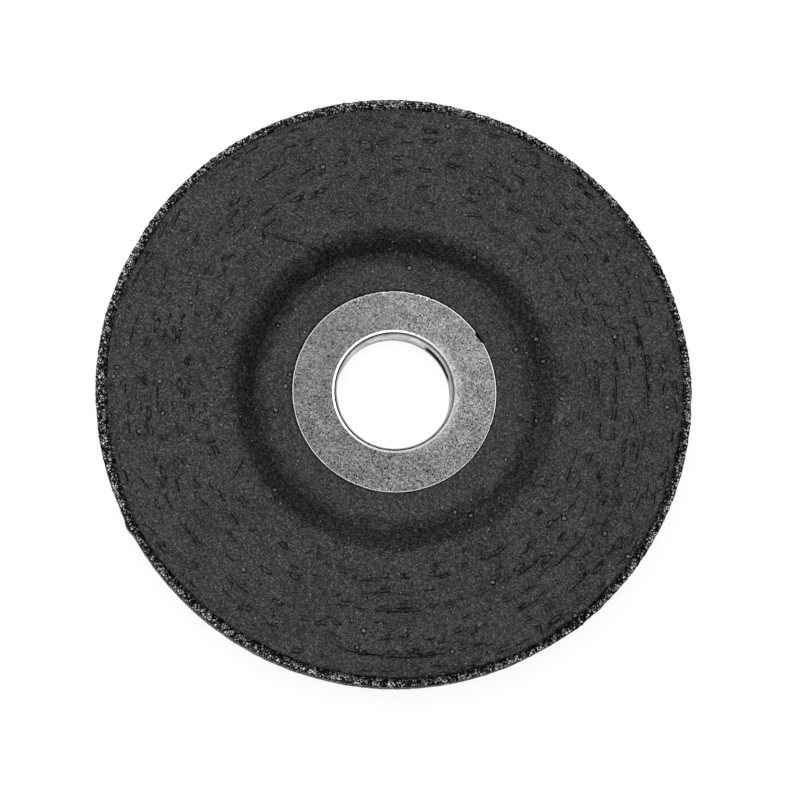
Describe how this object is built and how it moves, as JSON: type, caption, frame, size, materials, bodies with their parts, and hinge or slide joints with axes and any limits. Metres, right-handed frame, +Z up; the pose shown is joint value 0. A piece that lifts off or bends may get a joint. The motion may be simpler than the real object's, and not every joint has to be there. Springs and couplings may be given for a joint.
{
  "type": "depressed-centre grinding disc",
  "caption": "Round black grinding disc with a pressed recess around its centre, a bare gritty rim and a flanged steel ring lining the bore.",
  "frame": {"origin": "on the bore's axis, in the plane of the hub's back face, on which the disc lies", "axes": "+Z up along the bore's axis, from the hub's back face towards the grinding face; X and Y are free, as the disc is round"},
  "size_m": [0.115, 0.115, 0.0106],
  "materials": {
    "bonded_grit": "matte",
    "black_facing": "matte",
    "ring_steel": "satin"
  },
  "bodies": {
    "root": {"abrasive_body": "bonded_grit", "facing_sheet": "black_facing", "centre_ring": "ring_steel"}
  },
  "joints": []
}
